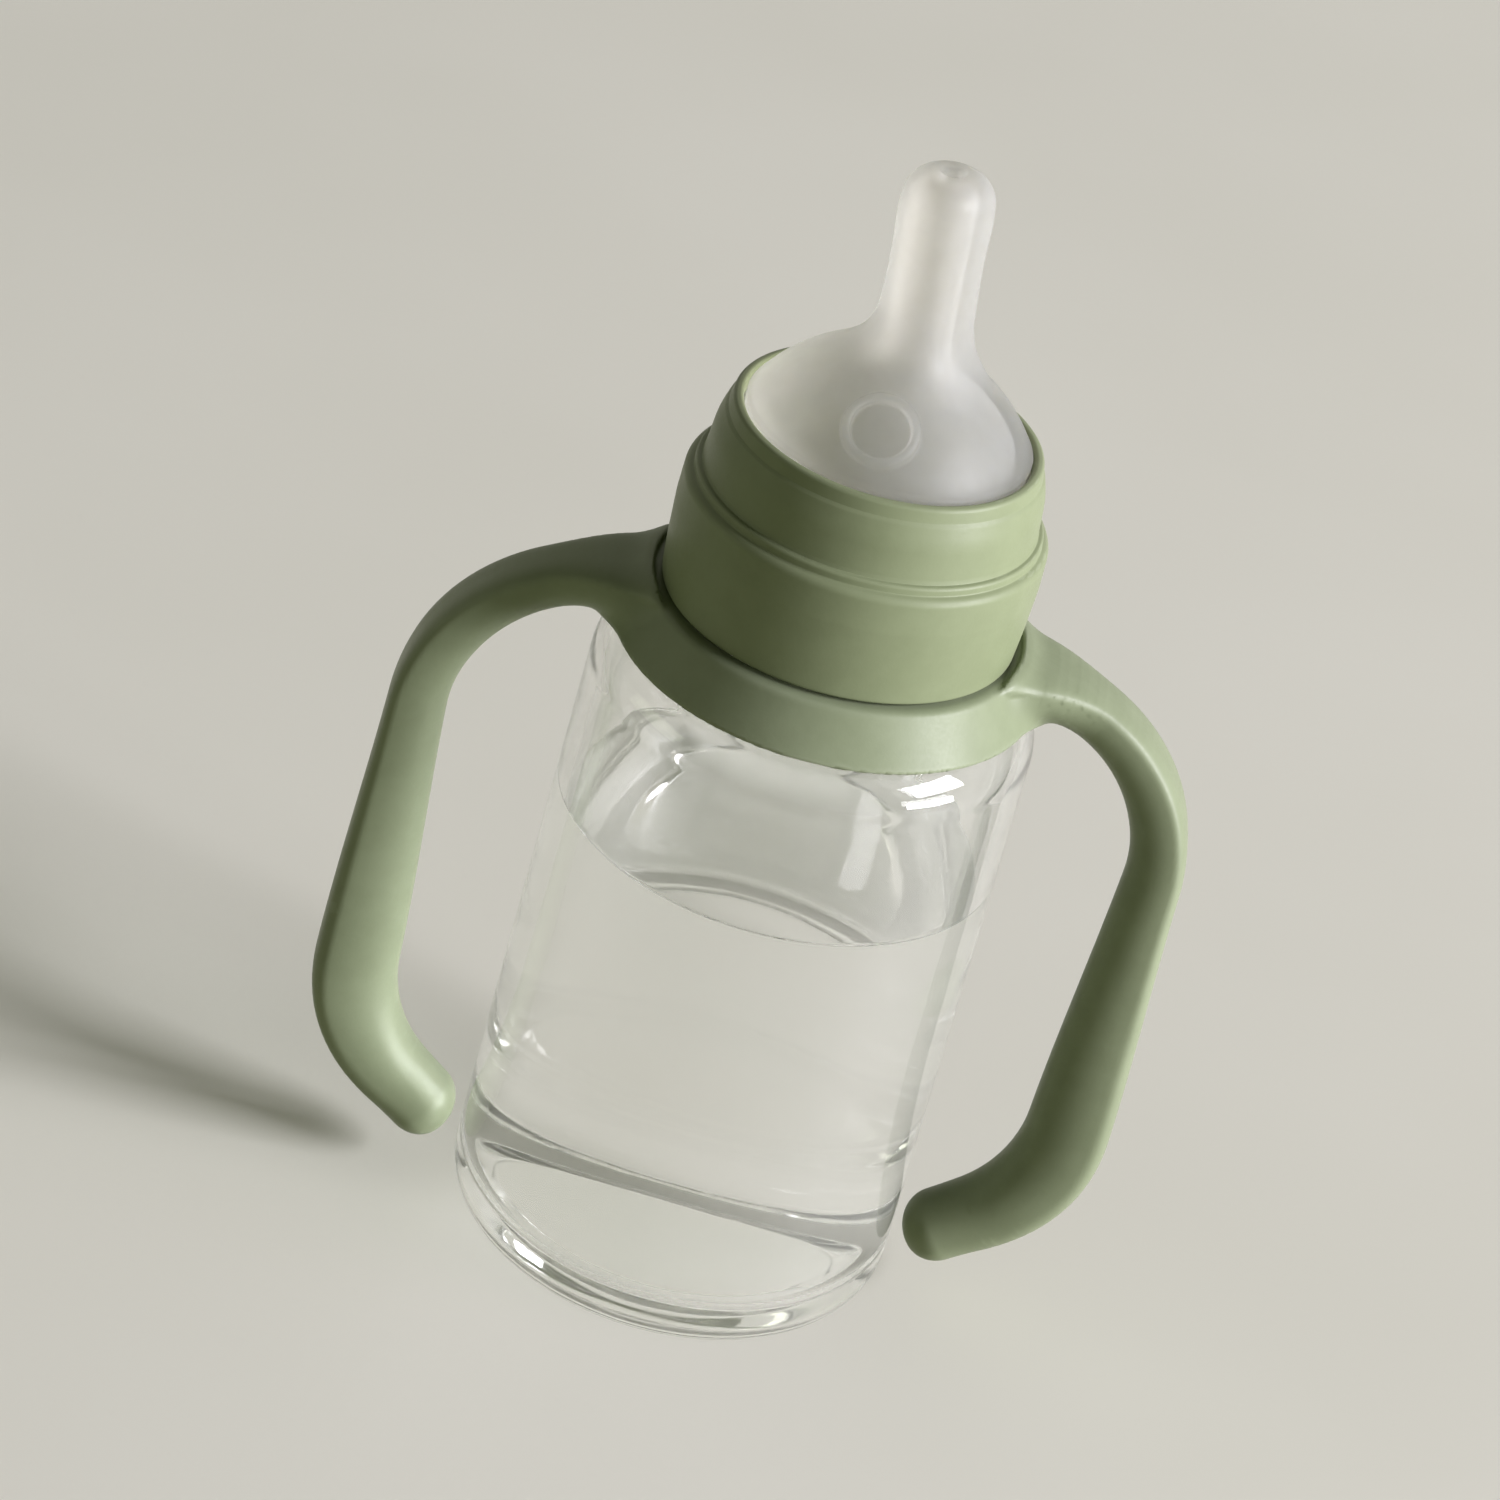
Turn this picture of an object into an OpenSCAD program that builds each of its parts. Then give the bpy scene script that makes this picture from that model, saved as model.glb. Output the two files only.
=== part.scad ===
// Two-handled training bottle: a clear bottle, a swivelling handle ring, a screw
// collar and a soft spout that the collar clamps on the neck.
// Millimetres, +Z up. The origin is the centre of the base, on the surface it stands on.
// The handles lie along X, and the spout's vent valve faces -Y.

/* [Bottle] */
// Diameter of the body at its foot
body_d = 56; // [46:0.5:68]
// Height of the theoretical corner between wall and shoulder
body_h = 83; // [69:1:110]
// How much narrower the wall is at the shoulder than at the foot
body_taper = 1.2; // [0:0.2:2]
// Thickness of the wall
wall = 2; // [1.2:0.1:2.6]
// Thickness of the floor
floor_t = 3.6; // [2.5:0.1:6]
// Outside radius of the heel
heel_r = 6.5; // [4:0.5:9]
// How far the middle of the base is pushed up
push_up = 1.2; // [0.6:0.1:2]

/* [Neck and thread] */
// Outside diameter of the neck, at the root of its thread
neck_d = 36.4; // [30:0.2:44]
// Wall of the neck
neck_wall = 2.2; // [1.6:0.1:3]
// Plain neck between the shoulder and the thread
neck_plain = 6.2; // [5.2:0.1:8]
// Plain neck between the thread and the rim
neck_rim = 9.4; // [7.8:0.1:11.4]
// How far the neck's thread stands out
thread_depth = 1.15; // [0.9:0.05:1.4]
// Rise of the thread in one turn
pitch = 4; // [3.3:0.1:4.8]
// Turns of thread on the neck
neck_turns = 1.75; // [1.25:0.25:2]
// Turns of thread in the collar
collar_turns = 1.5; // [1:0.25:1.75]
// Radial gap between each crest and the root it faces
thread_gap = 0.4; // [0.3:0.05:0.6]

/* [Handle ring] */
// Overall width across both handles
handle_span = 101.4; // [84:0.2:120]
// Thickness of a handle below its upper bend
handle_t = 7; // [6:0.2:8.6]
// Thickness of a handle at its widest, near the lower end
grip_t = 10.5; // [8.7:0.1:12.6]
// Width of a handle
handle_w = 8.6; // [7:0.2:11]
// Height of a handle's lower end
handle_low = 5.4; // [4:0.2:14]
// Gap between a handle's lower end and the body
tip_gap = 0.7; // [0.5:0.1:4]
// Gap between the ring and the neck and shoulder that it turns on
ring_gap = 0.4; // [0.3:0.05:0.8]

/* [Collar] */
// Thickness of the skirt outside the thread
skirt_wall = 2.3; // [1.8:0.1:3.5]
// Thickness of the upper band
band_wall = 1.25; // [1:0.05:2.2]
// Height of the upper band
band_h = 9.1; // [7.5:0.1:11]
// How far the lip reaches in past the outside of the neck
lip_reach = 0.6; // [0.3:0.1:1.5]
// Thickness of the lip
lip_t = 2.5; // [1.8:0.1:3.5]

/* [Spout] */
// Height of the dome above its ledge
dome_h = 9.7; // [8:0.1:11.6]
// Wall of the silicone
skin = 1.7; // [1.4:0.1:2.2]
// Thickness of the flange that the collar clamps
flange_t = 2.1; // [1.6:0.1:3]
// Diameter of the tube where it leaves the dome
tube_foot_d = 12; // [10:0.2:14.4]
// Diameter of the tube at the bead near its tip
tube_tip_d = 11.2; // [9.4:0.2:13.4]
// Length of the tube above the top of the dome
tube_h = 23.6; // [18:0.1:30]
// Diameter of the channel in the tube
channel_d = 7.2; // [5:0.2:8]
// Diameter of the outlet hole
outlet_d = 2.6; // [1.5:0.1:4]
// Lean of the tube towards -X, in degrees
tube_lean = 4.5; // [0:0.5:8]
// Diameter of the vent valve's raised rim
valve_d = 9.2; // [7:0.2:11]

/* [Hidden] */
$fn = 96;
arc_steps = 7;           // straight pieces in a rounded corner of a profile
clear = 0.25;            // gap between stacked pieces

// Bottle
body_r = body_d / 2;
shoulder_r = body_r - body_taper / 2;
neck_r = neck_d / 2;
bore_r = neck_r - neck_wall;
shoulder_slope = 40.5;   // degrees below level
shoulder_fillet = 7;
foot_in = 4;             // the flat foot runs this far in from the heel's curve
neck_foot = body_h + (shoulder_r - neck_r) * tan(shoulder_slope);
skin_drop = wall / cos(shoulder_slope);  // shoulder wall measured straight down

// Thread, a ridge with a wide root and a narrower crest
ridge_root = 0.95;       // half the ridge's height at its root
ridge_crest = 0.4;       // and at its crest
ridge_bury = 0.5;        // the root lies this deep in the wall
thread_low = neck_foot + neck_plain;
thread_high = thread_low + pitch * neck_turns;
neck_top = thread_high + neck_rim;

// Handle ring
ring_bore_r = neck_r + thread_depth + 0.9;
ring_foot_r = shoulder_r - 1.05;
ring_edge = 1.7;         // the ring has this height at its outer edge, over its underside
ring_top = neck_foot + 2;
ring_drop = ring_gap / cos(shoulder_slope);
ring_low = over_shoulder(ring_foot_r) + ring_edge;

// Collar
skirt_in_r = neck_r + thread_depth + 0.65;
skirt_r = skirt_in_r + skirt_wall;
crest_r = neck_r + thread_gap;           // crest of the collar's thread
band_in_r = neck_r + 0.95;
band_r = band_in_r + band_wall;
lip_r = neck_r - lip_reach;
flange_r = band_in_r - clear;
flange_low = neck_top + clear;
flange_high = flange_low + flange_t;
lip_low = flange_high + clear;
collar_low = ring_top + clear;
collar_top = lip_low + lip_t;
band_low = collar_top - band_h;          // groove between skirt and upper band
thread_room = thread_high + 2.05;        // the collar's wide bore ends here
groove = 1.1;                            // depth of that groove
ring_head_r = skirt_r + 0.6;
seat_r = skirt_r + 0.35;                 // the skirt's seat on the ring

// Spout
rise_r = lip_r - 0.35;                   // wall that comes up through the collar
ledge_z = collar_top + clear;
dome_foot_r = rise_r - 0.15;
dome_r = (dome_foot_r ^ 2 + dome_h ^ 2) / (2 * dome_h);
dome_top = ledge_z + dome_h;
dome_z = dome_top - dome_r;
tube_sink = 1.2;                         // the tube's foot lies this far below the dome's top
tube_foot = [1, 0.4, dome_top - tube_sink];
tube_len = (tube_h + tube_sink) / cos(tube_lean);
tip_t = 1.9;                             // silicone over the end of the channel
valve_az = -98;
valve_out = dome_foot_r - valve_d / 2 + 0.1;
valve_tilt = asin(valve_out / dome_r);   // from upright, round the dome's centre

// ---- Helpers ---------------------------------------------------------------

function unit(v) = v / norm(v);

// Height at radius r of the lowest surface that clears the shoulder.
function over_shoulder(r) = neck_foot + ring_drop - (r - neck_r) * tan(shoulder_slope);

// The corner b between a and c, rounded with radius r in n straight pieces.
function corner(a, b, c, r, n = arc_steps) =
    r == 0 ? [b] :
    let (
        u = unit(a - b),
        v = unit(c - b),
        half = acos(u * v) / 2,
        mid = b + unit(u + v) * r / sin(half),
        s = b + u * r / tan(half) - mid,
        e = b + v * r / tan(half) - mid,
        a0 = atan2(s.y, s.x),
        turn = (atan2(e.y, e.x) - a0 + 540) % 360 - 180
    )
    [for (i = [0:n]) mid + r * [cos(a0 + turn * i / n), sin(a0 + turn * i / n)]];

function xy(p) = [p[0], p[1]];

// A closed outline from corners [x, y, radius].
function outline(pts) =
    let (n = len(pts))
    [for (i = [0:n - 1])
        each corner(xy(pts[(i + n - 1) % n]), xy(pts[i]), xy(pts[(i + 1) % n]), pts[i][2])];

// An open path from corners [x, y, radius].
function path(pts) =
    let (n = len(pts))
    [for (i = [0:n - 1])
        each (i == 0 || i == n - 1) ? [xy(pts[i])]
            : corner(xy(pts[i - 1]), xy(pts[i]), xy(pts[i + 1]), pts[i][2], 2 * arc_steps)];

module turned(pts) {
    rotate_extrude() polygon(outline(pts));
}

// Skin of a tube through equal rings of points, closed with a face at each end.
module skin_of(rings) {
    n = len(rings[0]);
    m = len(rings);
    sides = [for (i = [0:m - 2], j = [0:n - 1])
        [i * n + j, i * n + (j + 1) % n, (i + 1) * n + (j + 1) % n, (i + 1) * n + j]];
    low = [for (j = [n - 1:-1:0]) j];
    high = [for (j = [0:n - 1]) (m - 1) * n + j];
    polyhedron([for (r = rings) each r], concat([low, high], sides), convexity = 6);
}

// One helical ridge that starts at height z. It stands on a wall at root_r and
// reaches top_r, which is further out for a neck and further in for a collar.
module thread(z, turns, root_r, top_r) {
    per_turn = 30;
    run_in = 0.65;                       // share of the depth gained at each step of an end
    steps = round(per_turn * turns);
    out = sign(top_r - root_r);
    foot_r = root_r - ridge_bury * out;
    function fade(i) = min(1, i * run_in - 0.3, (steps - i) * run_in - 0.3);
    function at(r, a, h) = [r * cos(a), r * sin(a), h];
    rings = [for (i = [0:steps])
        let (
            a = 360 * i / per_turn,
            h = z + pitch * i / per_turn,
            r = root_r + (top_r - root_r) * fade(i),
            ring = [
                at(foot_r, a, h - ridge_root), at(r, a, h - ridge_crest),
                at(r, a, h + ridge_crest), at(foot_r, a, h + ridge_root)
            ]
        )
        out > 0 ? ring : [for (k = [len(ring) - 1:-1:0]) ring[k]]];
    skin_of(rings);
}

// Value at s between keys [place, value], eased so that it has no corners.
function keyed(s, keys, i = 0) =
    i < len(keys) - 2 && s > keys[i + 1][0] ? keyed(s, keys, i + 1) :
    let (t = (s - keys[i][0]) / (keys[i + 1][0] - keys[i][0]))
    keys[i][1] + (keys[i + 1][1] - keys[i][1]) * t * t * (3 - 2 * t);

// ---- Bottle ----------------------------------------------------------------

module bottle_outside() {
    foot_r = body_r - heel_r - foot_in;
    rise = 2.5;                          // run of the curve from the foot to the push-up
    turned([
        [0, push_up, 0], [foot_r - rise, push_up, 1.5], [foot_r, 0, 0.8],
        [body_r, 0, heel_r], [shoulder_r, body_h, shoulder_fillet],
        [neck_r, neck_foot, 1.2], [neck_r, neck_top, 0.8], [0, neck_top, 0]
    ]);
}

module bottle_inside() {
    low = floor_t + push_up;
    high = neck_top + 1;
    turned([
        [0, low, 0], [body_r - wall, floor_t, heel_r - wall / 2],
        [shoulder_r - wall, body_h - skin_drop + wall * tan(shoulder_slope), shoulder_fillet - wall],
        [bore_r, neck_foot - skin_drop + neck_wall * tan(shoulder_slope), 2.5],
        [bore_r, high, 0], [0, high, 0]
    ]);
}

module bottle() {
    color([0.86, 0.9, 0.9, 0.45])
    difference() {
        union() {
            bottle_outside();
            thread(thread_low, neck_turns, neck_r, neck_r + thread_depth);
        }
        bottle_inside();
    }
}

// ---- Handle ring -----------------------------------------------------------

// Centre line of the right handle, from the ring to its lower end, in the X-Z plane.
end_reach = 3.4;         // the rounded lower end reaches this far past the line
bow = 0.9;               // the lower bend lies this much further in than the upper one
outer_share = 0.36;      // of the handle's thickness lies outside its widest line
tip_share = 0.46;        // the same at the lower end
root_x = ring_bore_r + 1.6;
bend_in = 0.07;          // the lower bend's roundness draws the grip this much further in
handle_x = (handle_span - grip_t) / 2 + bow - bend_in;
bend_r = min(23, (handle_x - root_x) * 0.96);
low_bend = [handle_x - bow, handle_low + 13.6];
tip_z = handle_low + 3.8;
tip_dir = unit([body_r + tip_gap + end_reach, tip_z] - low_bend);
tip_half = norm([end_reach * tip_dir.x, thick(1) / 2 * tip_dir.y]);
handle_line = path([
    [root_x, ring_top - 2.9, 0], [handle_x, ring_top - 5.8, bend_r],
    [low_bend.x, low_bend.y, 21], [body_r + tip_gap + tip_half, tip_z, 0]
]);

// Distance along the centre line to each of its points.
function run(line, i) = i == 0 ? 0 : run(line, i - 1) + norm(line[i] - line[i - 1]);
handle_len = run(handle_line, len(handle_line) - 1);

// The point at distance d along the centre line.
function walk(line, d, i = 1) =
    let (step = norm(line[i] - line[i - 1]))
    d <= step || i == len(line) - 1 ? line[i - 1] + (line[i] - line[i - 1]) * d / step
        : walk(line, d - step, i + 1);

// Thickness, half width and outer share at a share s of the handle's length.
function thick(s) = keyed(s, [
    [0, handle_t - 0.2], [0.12, handle_t - 0.6], [0.3, handle_t], [0.8, grip_t], [1, grip_t - 1.5]
]);
function half_w(s) = keyed(s, [
    [0, handle_w / 2 + 3.4], [0.13, handle_w / 2], [0.5, handle_w / 2 + 0.1],
    [0.87, handle_w / 2 + 1], [1, handle_w / 2 + 0.4]
]);

function share_out(s) = keyed(s, [[0, outer_share], [0.8, outer_share], [1, tip_share]]);

// One side of the section is nearly square and faces outwards; the inner side is round.
function bulge(c) = c > 0 ? 0.67 : 0.93;

module handle() {
    stations = 34;
    sides = 20;
    tip_steps = 5;
    tip_turn = 82;                       // the rounded end stops this many degrees round
    function oval(p, dir, t, w, share) = [for (j = [0:sides - 1])
        let (
            c = cos(360 * j / sides), s = sin(360 * j / sides), half = (c > 0 ? share : 1 - share) * t,
            out = (0.5 - share) * t + half * sign(c) * pow(abs(c), bulge(c)),
            wide = w * sign(s) * pow(abs(s), bulge(c))
        )
        [p.x - dir.y * out, wide, p.y + dir.x * out]];
    function heading(d) = unit(walk(handle_line, min(d + 1, handle_len)) - walk(handle_line, max(d - 1, 0)));
    bar = [for (i = [0:stations])
        let (s = i / stations, d = s * handle_len)
        oval(walk(handle_line, d), heading(d), thick(s), half_w(s), share_out(s))];
    last = walk(handle_line, handle_len);
    tip = [for (k = [1:tip_steps])
        let (a = tip_turn * k / tip_steps, dir = heading(handle_len))
        oval(last + dir * end_reach * sin(a), dir, thick(1) * cos(a), half_w(1) * cos(a), tip_share)];
    skin_of(concat(bar, tip));
}

module ring_body() {
    turned([
        [ring_bore_r, ring_top, 0.3], [ring_bore_r, ring_low, 0],
        [ring_foot_r, ring_low, 0.7], [ring_head_r, ring_top, 0.6]
    ]);
}

// Everything inside the ring: the neck's way through and the room over the shoulder.
module ring_room() {
    far_r = shoulder_r + 0.6;
    low = body_h - 15;
    high = ring_top + 1;
    turned([
        [0, high, 0], [0, low, 0], [far_r, low, 0], [far_r, over_shoulder(far_r), 0],
        [ring_bore_r, over_shoulder(ring_bore_r), 0.4], [ring_bore_r, high, 0]
    ]);
}

// Seat of the collar's skirt on top of the ring.
module collar_seat() {
    translate([0, 0, ring_top]) cylinder(h = 20, r = seat_r);
}

module handle_ring() {
    color([0.62, 0.68, 0.56])
    difference() {
        union() {
            ring_body();
            handle();
            mirror([1, 0, 0]) handle();
        }
        ring_room();
        collar_seat();
    }
}

// ---- Collar ----------------------------------------------------------------

module collar_shell() {
    turned([
        [skirt_in_r, collar_low, 0.4], [skirt_r - 0.6, collar_low, 0.5],
        [skirt_r - 0.25, collar_low + 4.6, 0], [skirt_r, collar_low + 10, 6],
        [skirt_r - 0.1, band_low - 1.8, 1.1], [skirt_r - groove, band_low - 1.4, 0.2],
        [skirt_r - groove, band_low - 0.4, 0.5], [band_r + 0.1, band_low - 0.3, 0.15],
        [band_r, band_low + 0.2, 0.1], [band_r - 0.35, band_low + band_h / 2, 8],
        [band_r - 1, collar_top - 2.3, 0.8], [lip_r + 1.5, collar_top - 1.9, 0.15],
        [lip_r + 1.2, collar_top - 0.2, 0.8], [lip_r, collar_top, 0.5],
        [lip_r, lip_low, 0.3], [band_in_r, lip_low, 0], [band_in_r, thread_room, 0.4],
        [skirt_in_r, thread_room - 1, 0.4]
    ]);
}

module collar() {
    color([0.6, 0.64, 0.48])
    union() {
        collar_shell();
        thread(thread_low - pitch / 2, collar_turns, skirt_in_r, crest_r);
    }
}

// ---- Spout -----------------------------------------------------------------

module dome_outside() {
    intersection() {
        translate([0, 0, dome_z]) sphere(r = dome_r);
        translate([0, 0, ledge_z - 2]) cylinder(h = dome_h + 3, r = dome_foot_r);
    }
    turned([
        [0, flange_low, 0], [flange_r, flange_low, 0.4], [flange_r, flange_high, 0.4],
        [rise_r, flange_high, 0.2], [rise_r, ledge_z, 0.4], [0, ledge_z, 0]
    ]);
}

module dome_inside() {
    low = flange_low - 1;
    inner_r = dome_foot_r - skin;
    intersection() {
        translate([0, 0, dome_z]) sphere(r = dome_r - skin);
        translate([0, 0, low]) cylinder(h = dome_top - low, r = inner_r);
    }
    translate([0, 0, low]) cylinder(h = ledge_z - 1 - low, r = inner_r);
}

// Places its children at the foot of the tube, along the tube.
module along_tube() {
    translate(tube_foot) rotate([0, -tube_lean, 0]) children();
}

module tube_outside() {
    r0 = tube_foot_d / 2;
    r1 = tube_tip_d / 2;
    waist_r = (r0 + r1) / 2 - 0.35;
    cove = 4;
    low = -5.5;                          // the cove's wide end lies inside the dome
    turned([
        [0, low, 0], [r0 + cove + 2, low, 0], [r0, 0.2, cove], [waist_r, tube_len * 0.55, 20],
        [r1, tube_len * 0.76, 8], [r1 - 0.35, tube_len, 3.4], [0, tube_len, 0]
    ]);
}

module tube_inside() {
    c = channel_d / 2;
    flare = 1.6;
    low = -4;
    high = tube_len - tip_t;
    turned([
        [0, low, 0], [c + flare, low, 0], [c, 0.5, 2], [c - 0.2, high, 1.6], [0, high, 0]
    ]);
    translate([0, 0, high - 1]) cylinder(h = tip_t + 2, r = outlet_d / 2);
}

// Places its children on the dome, pointing straight out of it.
module on_dome() {
    translate([0, 0, dome_z]) rotate([0, 0, valve_az]) rotate([0, valve_tilt, 0])
        translate([0, 0, dome_r]) children();
}

module valve_rim() {
    rim_up = 0.5;
    translate([0, 0, rim_up - 1.4]) cylinder(h = 1.4, r = valve_d / 2);
}

// The dished middle of the valve, and the slit that lets air in.
module valve_cut() {
    rim_w = 1;
    dish = 0.35;
    slit = [0.4, valve_d * 0.4, 5];
    translate([0, 0, -dish]) cylinder(h = 2, r = valve_d / 2 - rim_w);
    translate([0, 0, 1 - slit.z / 2]) cube(slit, center = true);
}

module spout() {
    color([0.93, 0.92, 0.88, 0.8])
    difference() {
        union() {
            dome_outside();
            along_tube() tube_outside();
            on_dome() valve_rim();
        }
        dome_inside();
        along_tube() tube_inside();
        on_dome() valve_cut();
    }
}

bottle();
handle_ring();
collar();
spout();
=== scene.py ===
"""Two-handled training bottle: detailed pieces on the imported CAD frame.

Shapes are worked out in millimetres, as in the CAD source, and turned into metres when a
mesh is made. Turned pieces are lathes of rounded profiles. The ring with its handles and
the spout are blended from distance functions, so that their fillets are true surfaces.
"""

import math

import bpy
import numpy as np
from mathutils import Matrix, Vector


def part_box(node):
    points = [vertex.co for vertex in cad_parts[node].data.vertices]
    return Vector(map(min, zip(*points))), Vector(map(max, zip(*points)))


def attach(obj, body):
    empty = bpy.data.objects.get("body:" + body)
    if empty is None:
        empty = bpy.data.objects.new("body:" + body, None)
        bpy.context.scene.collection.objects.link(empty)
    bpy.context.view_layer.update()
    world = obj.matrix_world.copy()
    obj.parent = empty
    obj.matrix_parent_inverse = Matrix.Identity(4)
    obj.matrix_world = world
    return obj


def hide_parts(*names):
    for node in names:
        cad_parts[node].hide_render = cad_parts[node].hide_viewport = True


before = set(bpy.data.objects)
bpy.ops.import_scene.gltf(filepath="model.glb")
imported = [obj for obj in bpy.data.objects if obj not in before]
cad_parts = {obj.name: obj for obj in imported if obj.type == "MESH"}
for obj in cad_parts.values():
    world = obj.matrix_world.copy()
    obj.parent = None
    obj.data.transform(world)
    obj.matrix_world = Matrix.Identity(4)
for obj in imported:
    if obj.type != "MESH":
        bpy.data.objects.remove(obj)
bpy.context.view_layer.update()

MM = 0.001
TAU = 2 * math.pi


def top(node):
    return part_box(node)[1].z / MM


def low(node):
    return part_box(node)[0].z / MM


# ---- Sizes (mm) ------------------------------------------------------------------------------

# These are the values of the CAD source, but for the inner heel, the handles' shares and their
# rounded ends, which follow the photograph more closely than the solids do.

BODY_R = 28.0
SHOULDER_R = 27.4
BODY_H = 83.0
WALL = 2.0
FLOOR_T = 3.6
HEEL_R = 6.5
INNER_HEEL = 8.5                         # the CAD source has 5.5
PUSH_UP = 1.2
FOOT_IN = 4.0                            # width of the flat ring that it stands on
SHOULDER_ROUND = 7.0
SLOPE = math.radians(40.5)
NECK_R = 18.2
BORE_R = 16.0
NECK_WALL = NECK_R - BORE_R
THREAD_DEPTH = 1.15
PITCH = 4.0
NECK_TURNS = 1.75
COLLAR_TURNS = 1.5
NECK_FOOT = BODY_H + (SHOULDER_R - NECK_R) * math.tan(SLOPE)
NECK_TOP = top("bottle")
THREAD_LOW = NECK_FOOT + 6.2
THREAD_HIGH = THREAD_LOW + PITCH * NECK_TURNS

RING_BORE_R = NECK_R + THREAD_DEPTH + 0.9
RING_TOP = NECK_FOOT + 2
RING_FOOT_R = SHOULDER_R - 1.05
RING_DROP = 0.4 / math.cos(SLOPE)

COLLAR_LOW = low("collar")
COLLAR_TOP = top("collar")
SKIRT_IN_R = NECK_R + THREAD_DEPTH + 0.65
SKIRT_R = SKIRT_IN_R + 2.3
BAND_IN_R = NECK_R + 0.95
BAND_R = BAND_IN_R + 1.25
LIP_R = NECK_R - 0.6
BAND_LOW = COLLAR_TOP - 9.1
RING_HEAD_R = SKIRT_R + 0.6
SEAT_R = SKIRT_R + 0.35

SPOUT_LOW = low("spout")
FLANGE_HIGH = SPOUT_LOW + 2.1
FLANGE_R = BAND_IN_R - 0.25
LIP_LOW = FLANGE_HIGH + 0.25
RISE_R = LIP_R - 0.35
LEDGE_Z = COLLAR_TOP + 0.25
DOME_FOOT_R = RISE_R - 0.15
DOME_H = 9.7
DOME_R = (DOME_FOOT_R ** 2 + DOME_H ** 2) / (2 * DOME_H)
DOME_TOP = LEDGE_Z + DOME_H
DOME_Z = DOME_TOP - DOME_R
SKIN = 1.7
TUBE_FOOT = np.array([1.0, 0.4, DOME_TOP - 1.2])
TUBE_LEAN = math.radians(4.5)
TUBE_LEN = 24.8 / math.cos(TUBE_LEAN)
VALVE_D = 9.2
VALVE_AZ = math.radians(-98)
VALVE_TILT = math.asin((DOME_FOOT_R - VALVE_D / 2 + 0.1) / DOME_R)

WATER_Z = 61.5
WET_Z = WATER_Z + 0.5                    # the water climbs the wall to here

GLASS_IOR = 1.5
WATER_IOR = 1.333


# ---- Profiles and meshes ---------------------------------------------------------------------

def rounded(points, is_closed=True, step=6.0, run=2.4, end=0.3):
    """Corners (x, y, radius) to a dense outline, with each arc and each straight run sampled."""
    pts = [(np.array(p[:2], float), p[2]) for p in points]
    n = len(pts)
    out = []
    for i, (b, r) in enumerate(pts):
        if not is_closed and i in (0, n - 1) or r == 0:
            out.append([b])
            continue
        u = pts[i - 1][0] - b
        v = pts[(i + 1) % n][0] - b
        u, v = u / np.linalg.norm(u), v / np.linalg.norm(v)
        half = math.acos(float(np.clip(u @ v, -1, 1))) / 2
        mid = b + (u + v) / np.linalg.norm(u + v) * r / math.sin(half)
        s = b + u * r / math.tan(half) - mid
        e = b + v * r / math.tan(half) - mid
        a0 = math.atan2(s[1], s[0])
        turn = (math.atan2(e[1], e[0]) - a0 + 3 * math.pi) % TAU - math.pi
        k = max(2, math.ceil(abs(math.degrees(turn)) / step))
        out.append([mid + r * np.array([math.cos(a0 + turn * j / k), math.sin(a0 + turn * j / k)])
                    for j in range(k + 1)])
    dense = []
    for i, arc in enumerate(out):
        dense += arc
        if i == n - 1 and not is_closed:
            break
        a, b = arc[-1], out[(i + 1) % n][0]
        gap = np.linalg.norm(b - a)
        if gap < 2.5 * end:
            continue
        inner = gap - 2 * end
        k = max(1, math.ceil(inner / run))
        dense += [a + (b - a) * (end + inner * j / k) / gap for j in range(k + 1)]
    return np.array(dense)


def new_object(name, verts_mm, faces, normals=None):
    """A smooth-shaded object of a closed surface, with its faces turned outwards."""
    verts = np.asarray(verts_mm, float)
    fan = np.array([(f[0], f[i], f[i + 1]) for f in faces for i in range(1, len(f) - 1)])
    a, b, c = verts[fan[:, 0]], verts[fan[:, 1]], verts[fan[:, 2]]
    if np.einsum("ij,ij->", a, np.cross(b, c)) < 0:
        faces = [f[::-1] for f in faces]
    mesh = bpy.data.meshes.new(name)
    mesh.from_pydata((verts * MM).tolist(), [], faces)
    mesh.update()
    mesh.shade_smooth()
    if normals is not None:
        mesh.normals_split_custom_set_from_vertices(normals.tolist())
    obj = bpy.data.objects.new(name, mesh)
    bpy.context.scene.collection.objects.link(obj)
    return obj


def lathe(name, profile, sides=224, closed=True, swell=None):
    """Turns an outline of (r, z) about Z. Its ends lie on the axis unless it is closed."""
    angles = np.arange(sides) * TAU / sides
    rows, verts = [], []
    for r, z in profile:
        if r < 1e-6:
            rows.append([len(verts)])
            verts.append((0.0, 0.0, z))
            continue
        rr = np.full(sides, r) if swell is None else r + swell(angles, r, z)
        rows.append(list(range(len(verts), len(verts) + sides)))
        verts += list(zip(rr * np.cos(angles), rr * np.sin(angles), np.full(sides, z)))
    faces = []
    pairs = list(zip(rows, rows[1:] + rows[:1])) if closed else list(zip(rows, rows[1:]))
    for a, b in pairs:
        if len(a) == 1 and len(b) == 1:
            continue
        for j in range(sides):
            k = (j + 1) % sides
            if len(a) == 1:
                faces.append((a[0], b[j], b[k]))
            elif len(b) == 1:
                faces.append((a[k], a[j], b[0]))
            else:
                faces.append((a[k], a[j], b[j], b[k]))
    return new_object(name, verts, faces)


def smooth(x):
    x = np.clip(x, 0, 1)
    return x * x * (3 - 2 * x)


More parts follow.
